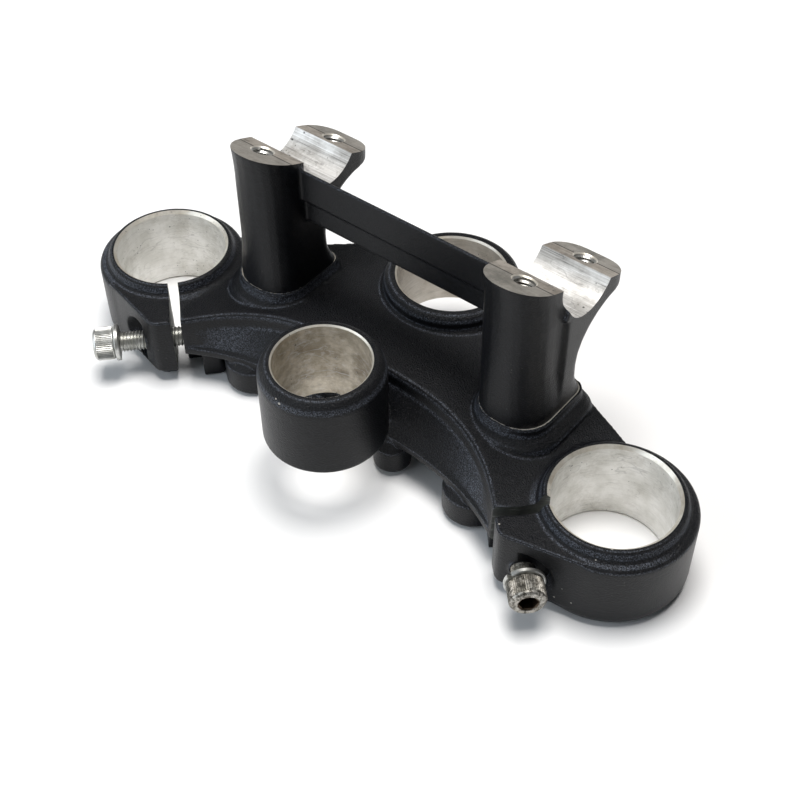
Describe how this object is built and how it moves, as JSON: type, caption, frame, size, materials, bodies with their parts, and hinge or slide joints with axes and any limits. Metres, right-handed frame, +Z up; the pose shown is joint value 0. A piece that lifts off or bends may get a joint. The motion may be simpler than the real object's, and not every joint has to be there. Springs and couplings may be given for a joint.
{
  "type": "motorcycle triple clamp",
  "caption": "Upper triple clamp of a motorcycle: a plate with pinched fork rings and two centre bosses, carrying a bolted bridge of handlebar risers with open saddles.",
  "frame": {"origin": "midway between the axes of the two fork bores, level with the top rims of the fork rings", "axes": "+X along the line of the two fork bores to the right-hand ring, -Y to the front of the motorcycle and the lock boss, +Z up along the fork bores"},
  "size_m": [0.2658, 0.1249, 0.1021],
  "materials": {
    "coated_plate": "cast, black powder coat with bare machined bores",
    "coated_risers": "cast, black powder coat with bare machined saddles and cap faces",
    "zinc_steel": "zinc plated, dull and worn",
    "dark_steel": "blackened"
  },
  "bodies": {
    "root": {"clamp_casting": "coated_plate", "riser_bridge": "coated_risers", "pinch_bolt_left": "zinc_steel", "pinch_bolt_right": "zinc_steel", "pinch_spring_washer_left": "zinc_steel", "pinch_spring_washer_right": "zinc_steel", "riser_bolt_left": "dark_steel", "riser_bolt_right": "dark_steel", "riser_washer_left": "dark_steel", "riser_washer_right": "dark_steel"}
  },
  "joints": []
}
